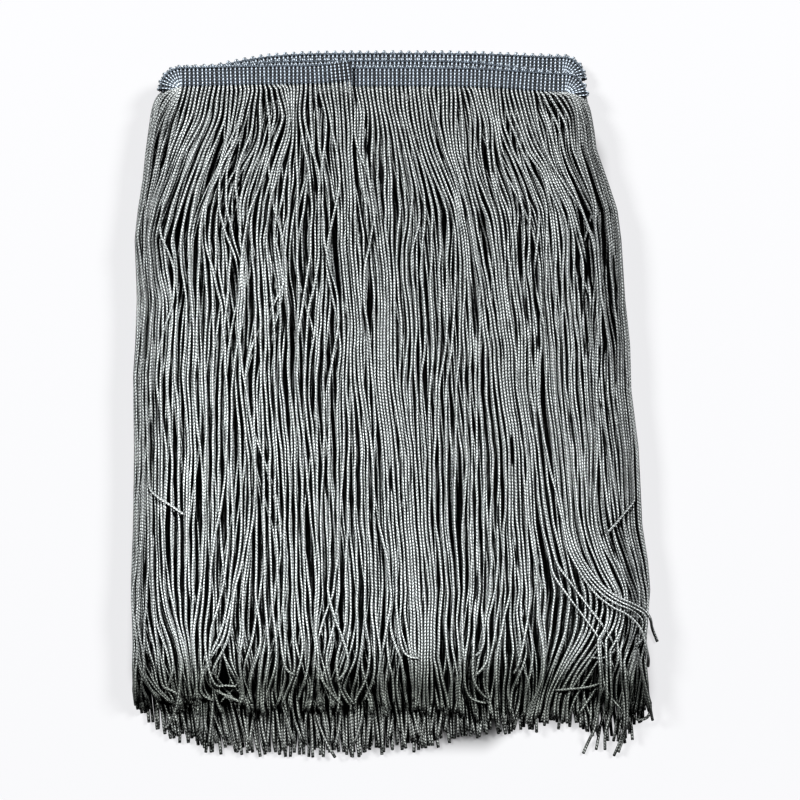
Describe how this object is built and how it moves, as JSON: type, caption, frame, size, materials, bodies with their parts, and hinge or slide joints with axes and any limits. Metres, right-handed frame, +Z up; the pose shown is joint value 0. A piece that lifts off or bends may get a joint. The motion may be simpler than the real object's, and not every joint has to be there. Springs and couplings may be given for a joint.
{
  "type": "tassel fringe trim",
  "caption": "Grey chainette fringe on a narrow ribbed knitted heading, folded back and forth into a flat pile with its cut strand ends at the foot.",
  "frame": {"origin": "middle of the pile's footprint, on the surface that it rests on", "axes": "+Z up out of the surface, +X along the heading, +Y from the strand tips to the heading"},
  "size_m": [0.2202, 0.3048, 0.0155],
  "materials": {
    "heading_yarn": "matt spun yarn, bluish grey, knitted into ribs",
    "chainette_yarn": "soft sheen, mid grey, knitted chain cord"
  },
  "bodies": {
    "root": {"heading": "heading_yarn", "fringe_1": "chainette_yarn", "fringe_2": "chainette_yarn", "fringe_3": "chainette_yarn", "fringe_4": "chainette_yarn", "fringe_5": "chainette_yarn", "fringe_6": "chainette_yarn"}
  },
  "joints": []
}
